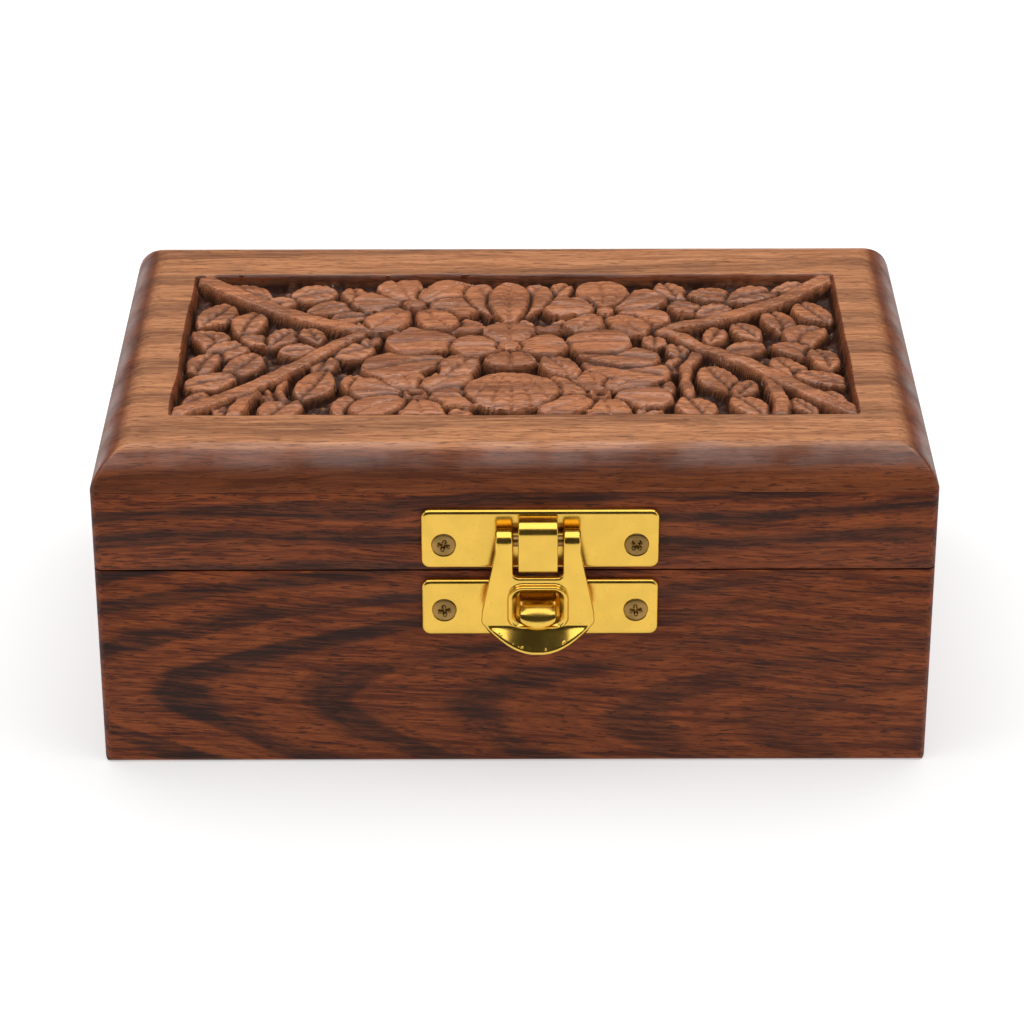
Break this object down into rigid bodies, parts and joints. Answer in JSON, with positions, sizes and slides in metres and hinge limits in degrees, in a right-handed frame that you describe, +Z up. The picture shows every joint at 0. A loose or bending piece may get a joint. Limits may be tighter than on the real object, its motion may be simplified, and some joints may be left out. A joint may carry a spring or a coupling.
{
  "type": "carved wooden keepsake box",
  "caption": "Small hardwood box with a carved floral top, a lid hinged at the back and a brass hasp latch over a spring catch at the front.",
  "frame": {"origin": "centre of the flat underside that the box stands on", "axes": "+Z up, +X to the right, the latch faces -Y and the hinges are at +Y"},
  "size_m": [0.15, 0.1094, 0.0618],
  "materials": {
    "rosewood": "waxed, dark streaks in a red-brown ground",
    "carved_rosewood": "waxed, lighter and more orange, dark in the carved ground",
    "polished_brass": "polished, with fine scratches and small pits",
    "hinge_brass": "satin",
    "dull_screw_brass": "dull, worn"
  },
  "bodies": {
    "base": {"base_front_board": "rosewood", "base_back_board": "rosewood", "base_left_board": "rosewood", "base_right_board": "rosewood", "base_floor": "rosewood", "lower_latch_plate": "polished_brass", "spring_catch": "polished_brass", "lower_plate_screws": "dull_screw_brass", "left_hinge_base_leaf": "hinge_brass", "right_hinge_base_leaf": "hinge_brass", "left_hinge_pin": "dull_screw_brass", "right_hinge_pin": "dull_screw_brass", "hinge_base_screws": "dull_screw_brass"},
    "lid": {"lid_top_panel": "carved_rosewood", "lid_front_rail": "rosewood", "lid_back_rail": "rosewood", "lid_left_rail": "rosewood", "lid_right_rail": "rosewood", "upper_latch_plate": "polished_brass", "hasp_pin": "dull_screw_brass", "upper_plate_screws": "dull_screw_brass", "left_hinge_lid_leaf": "hinge_brass", "right_hinge_lid_leaf": "hinge_brass", "hinge_lid_screws": "dull_screw_brass"},
    "hasp": {"hasp": "polished_brass"}
  },
  "joints": [
    {"name": "lid_hinge", "type": "hinge", "parent": "base", "child": "lid", "pos_m": [0, 0.0485, 0.03965], "axis": [-1, 0, 0], "range_deg": [0, 100]},
    {"name": "hasp_hinge", "type": "hinge", "parent": "lid", "child": "hasp", "pos_m": [0.0041, -0.0535, 0.0473], "axis": [-1, 0, 0], "range_deg": [0, 170], "deforming": ["spring_catch"]}
  ]
}
